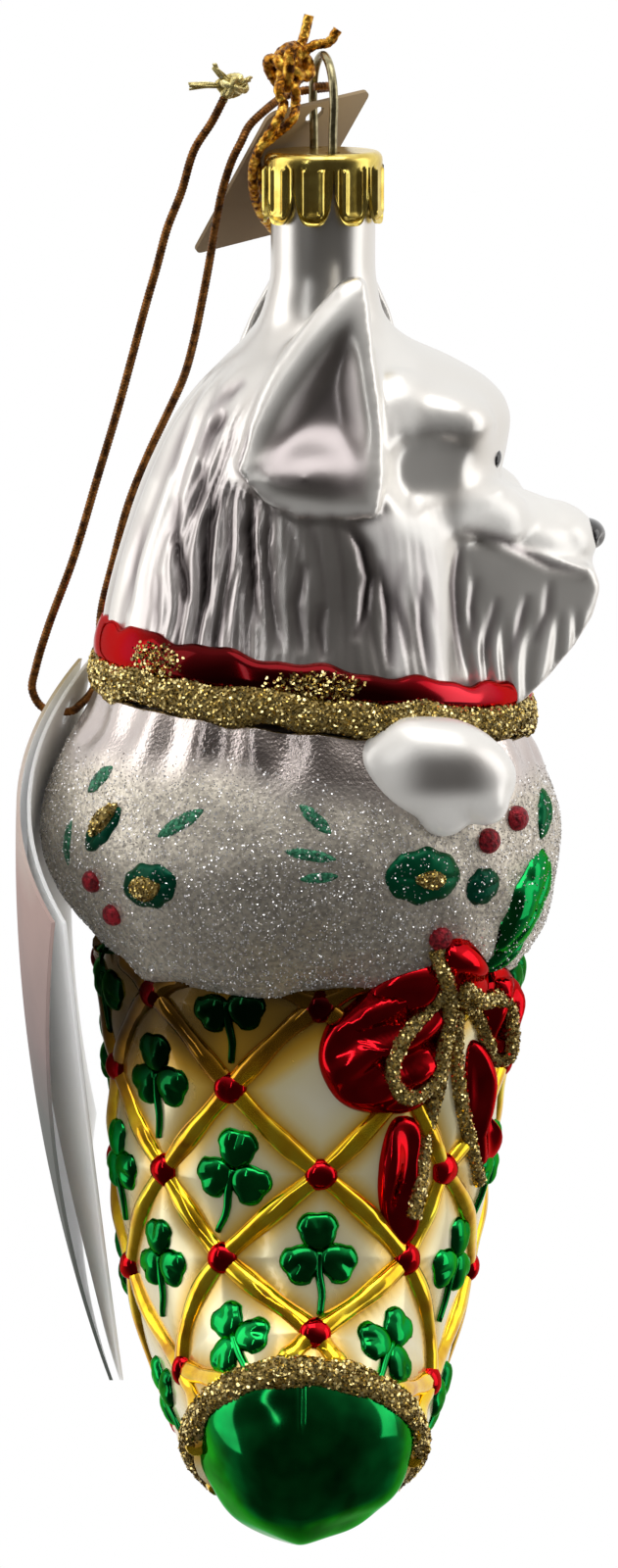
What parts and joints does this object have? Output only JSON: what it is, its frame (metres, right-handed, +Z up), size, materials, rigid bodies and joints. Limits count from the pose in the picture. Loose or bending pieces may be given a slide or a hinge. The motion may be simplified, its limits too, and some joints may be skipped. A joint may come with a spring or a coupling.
{
  "type": "stocking ornament",
  "caption": "Blown glass ornament of a dog in a stocking, with a metal cap, a wire hanging loop, knotted cords and hanging card tags.",
  "frame": {"origin": "inside of the crown of the wire hanging loop, the point that the ornament hangs from", "axes": "+Z up, the dog looks along +X, the toe of the stocking points along -Y towards the viewer"},
  "size_m": [0.0632, 0.0754, 0.1614],
  "materials": {
    "glass_lacquer": "gloss lacquer over silvered glass",
    "cap_gold": "polished",
    "wire_brass": "satin",
    "gold_glitter": "glitter",
    "braid_gold": "metallic thread",
    "elastic_brown": "metallic thread",
    "tag_card": "gloss",
    "leaf_card": "gloss",
    "cover_card": "gloss"
  },
  "bodies": {
    "hanger": {"hanger_wire": "wire_brass", "ornament_cap": "cap_gold", "braid_loop": "braid_gold", "braid_knot": "braid_gold"},
    "glass": {"glass_body": "glass_lacquer", "collar_glitter_band": "gold_glitter", "toe_glitter_band": "gold_glitter"},
    "square_tag": {"square_tag": "tag_card"},
    "booklet": {"elastic_loop": "elastic_brown", "elastic_knot": "elastic_brown", "booklet_inner_leaf": "leaf_card"},
    "booklet_cover": {"booklet_outer_leaf": "cover_card"}
  },
  "joints": [
    {"name": "glass_pull_off", "type": "slide", "parent": "hanger", "child": "glass", "axis": [0, 0, 1], "range_m": [-0.008, 0]},
    {"name": "square_tag_swing", "type": "hinge", "parent": "hanger", "child": "square_tag", "pos_m": [-0.00105, 0.00395, -0.0061], "axis": [0.7254, 0.6774, 0.1221], "range_deg": [0, 12]},
    {"name": "booklet_swing", "type": "hinge", "parent": "hanger", "child": "booklet", "pos_m": [-0.0005, 0.0045, -0.0033], "axis": [0, 1, 0], "range_deg": [0, 8]},
    {"name": "booklet_cover_fold", "type": "hinge", "parent": "booklet", "child": "booklet_cover", "pos_m": [-0.0261, 0.008, -0.0648], "axis": [0, 0.5145, -0.8575], "range_deg": [0, 12]}
  ]
}
